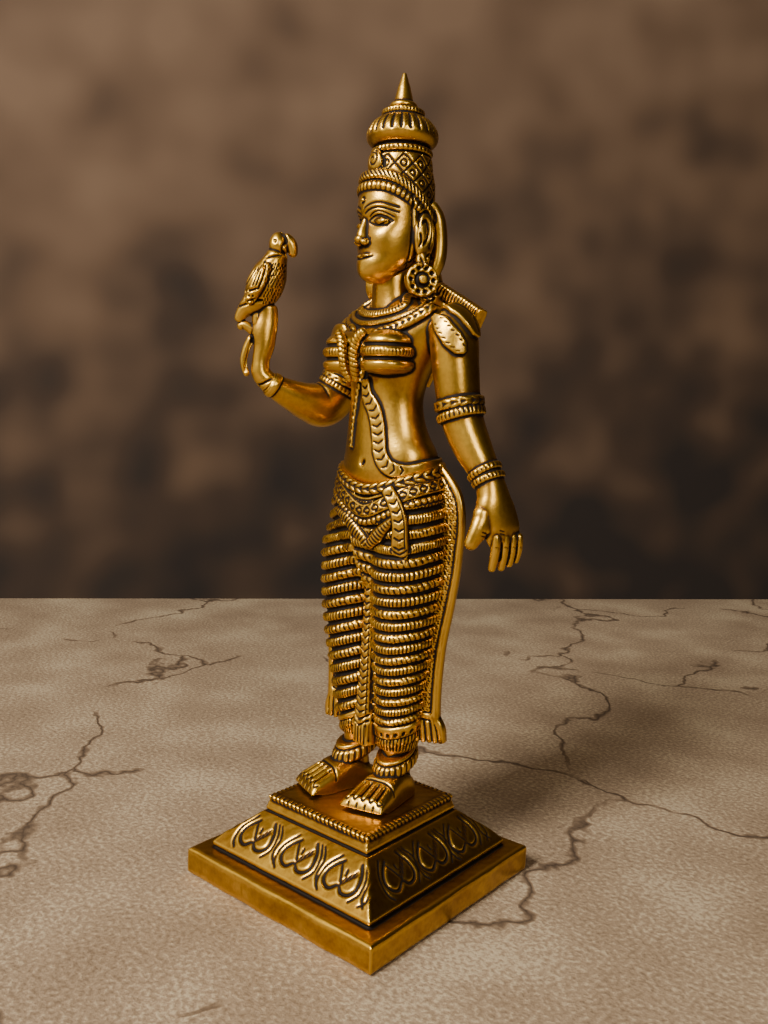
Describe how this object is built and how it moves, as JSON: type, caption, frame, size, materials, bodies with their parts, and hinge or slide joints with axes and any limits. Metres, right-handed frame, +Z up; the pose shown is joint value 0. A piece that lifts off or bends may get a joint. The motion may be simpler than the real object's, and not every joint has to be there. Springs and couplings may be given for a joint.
{
  "type": "parvati figure",
  "caption": "Cast brass standing goddess in a tall crown and rowed skirt, a parrot on her raised right hand, on a square stepped lotus plinth.",
  "frame": {"origin": "centre of the plinth's square underside, on the surface that it stands on", "axes": "+Z up, from the underside to the crown's tip; -Y is the way the plinth's front side and the figure face; +X is towards the figure's left hand"},
  "size_m": [0.1027, 0.09, 0.2864],
  "materials": {
    "figure": "polished cast brass, hand-filed, with near-black brown patina in the recesses",
    "plinth": "satin cast brass, filed and chased, with brown patina in the cuts"
  },
  "bodies": {
    "root": {"plinth": "plinth", "figure": "figure"}
  },
  "joints": []
}
